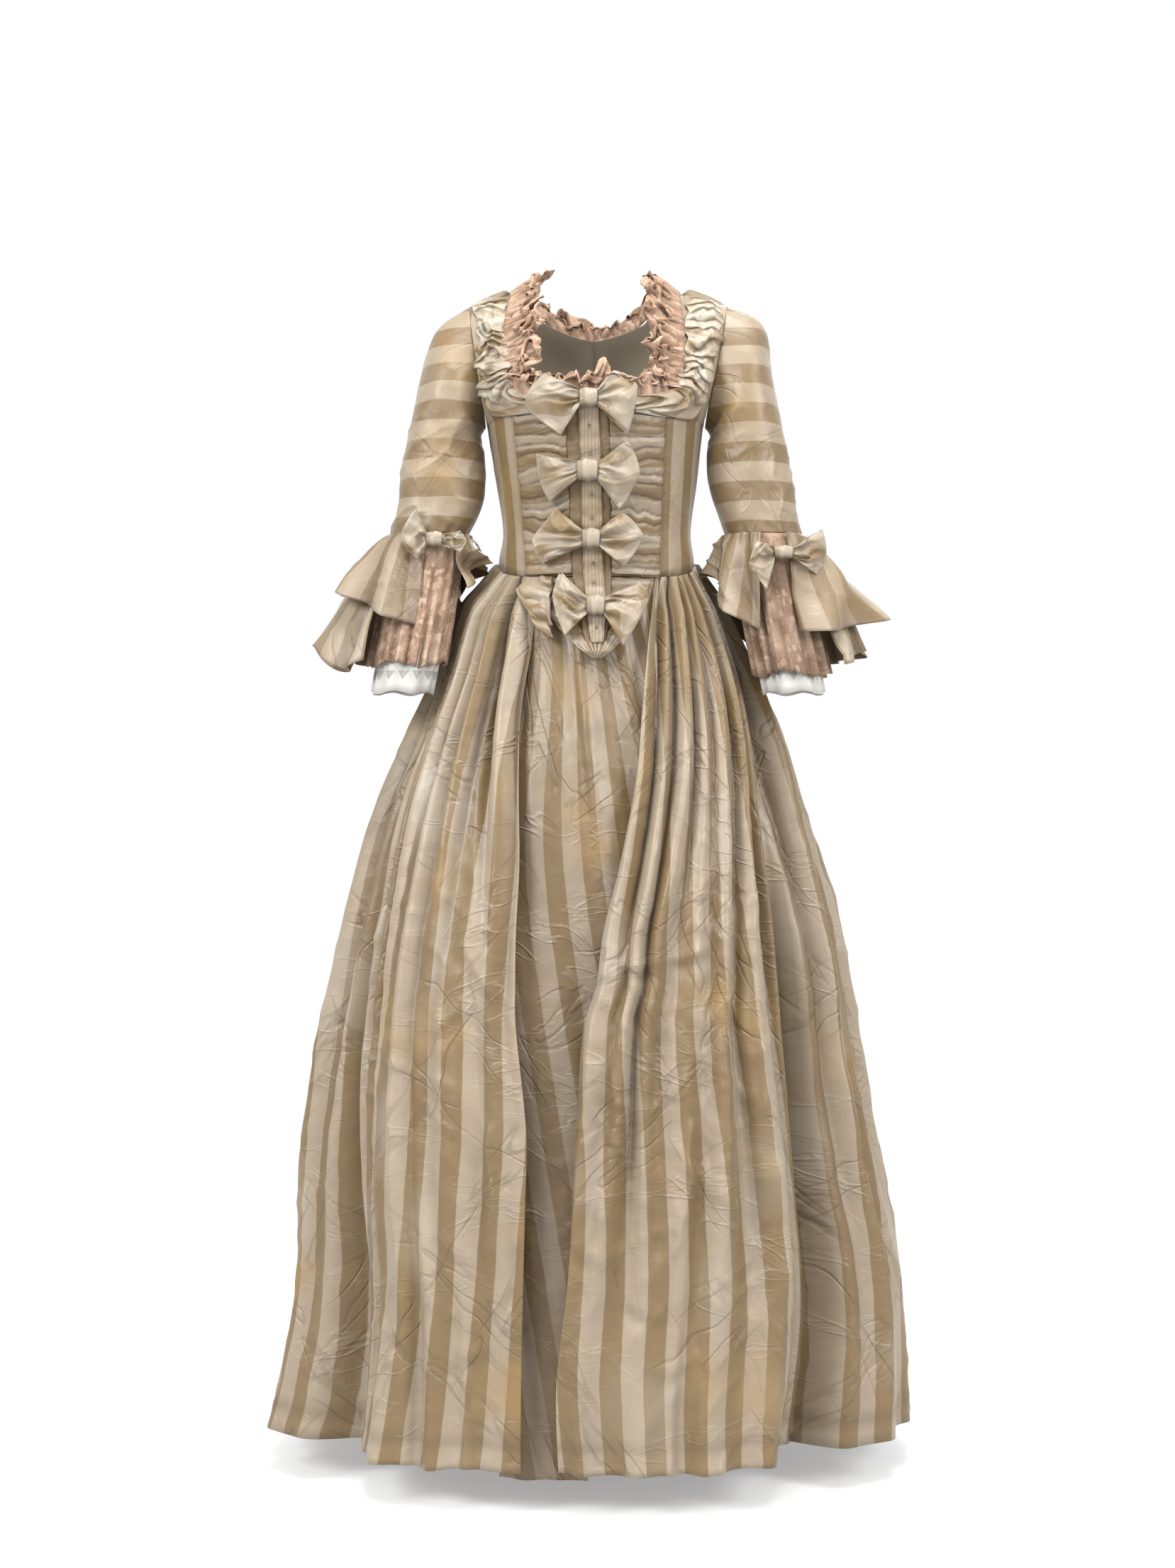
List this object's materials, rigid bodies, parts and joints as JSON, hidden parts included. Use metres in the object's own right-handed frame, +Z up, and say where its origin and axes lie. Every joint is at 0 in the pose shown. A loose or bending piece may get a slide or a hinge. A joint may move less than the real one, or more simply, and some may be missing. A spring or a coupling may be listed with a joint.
{
  "type": "english gown",
  "caption": "Fitted gown of striped silk taffeta with bowed front, flounced sleeves and a full skirt open over a matching petticoat front, hollow as worn.",
  "frame": {"origin": "middle of the shoulder line, where the gown hangs on its wearer", "axes": "+Z up, -Y out of the front of the gown, +X to the wearer's left"},
  "size_m": [0.8139, 0.637, 1.4665],
  "materials": {
    "striped_silk": "satin",
    "tan_silk": "satin",
    "brown_lace": "matte",
    "white_gauze": "matte"
  },
  "bodies": {
    "root": {"stomacher": "striped_silk", "basque_point": "striped_silk", "waist_puff": "striped_silk", "petticoat_front": "striped_silk", "robing_back": "striped_silk", "front_placket": "tan_silk", "neck_lace_front": "brown_lace", "neck_lace_back": "brown_lace", "bow_1_knot": "striped_silk", "bow_1_right": "striped_silk", "bow_1_left": "striped_silk", "bow_2_knot": "striped_silk", "bow_2_right": "striped_silk", "bow_2_left": "striped_silk", "bow_3_knot": "striped_silk", "bow_3_right": "striped_silk", "bow_3_left": "striped_silk", "bow_4_knot": "striped_silk", "bow_4_right": "striped_silk", "bow_4_left": "striped_silk", "bodice_front_right": "striped_silk", "bodice_back_right": "striped_silk", "stomacher_ruching_right": "striped_silk", "robing_right": "striped_silk", "sleeve_right": "striped_silk", "sleeve_bow_right_knot": "striped_silk", "sleeve_bow_right_outer": "striped_silk", "sleeve_bow_right_inner": "striped_silk", "flounce_upper_right": "striped_silk", "flounce_lower_right": "striped_silk", "skirt_front_right": "striped_silk", "skirt_back_right": "striped_silk", "neck_lace_right": "brown_lace", "sleeve_lace_right": "brown_lace", "under_cuff_right": "white_gauze", "bodice_front_left": "striped_silk", "bodice_back_left": "striped_silk", "stomacher_ruching_left": "striped_silk", "robing_left": "striped_silk", "sleeve_left": "striped_silk", "sleeve_bow_left_knot": "striped_silk", "sleeve_bow_left_outer": "striped_silk", "sleeve_bow_left_inner": "striped_silk", "flounce_upper_left": "striped_silk", "flounce_lower_left": "striped_silk", "skirt_front_left": "striped_silk", "skirt_back_left": "striped_silk", "neck_lace_left": "brown_lace", "sleeve_lace_left": "brown_lace", "under_cuff_left": "white_gauze"}
  },
  "joints": []
}
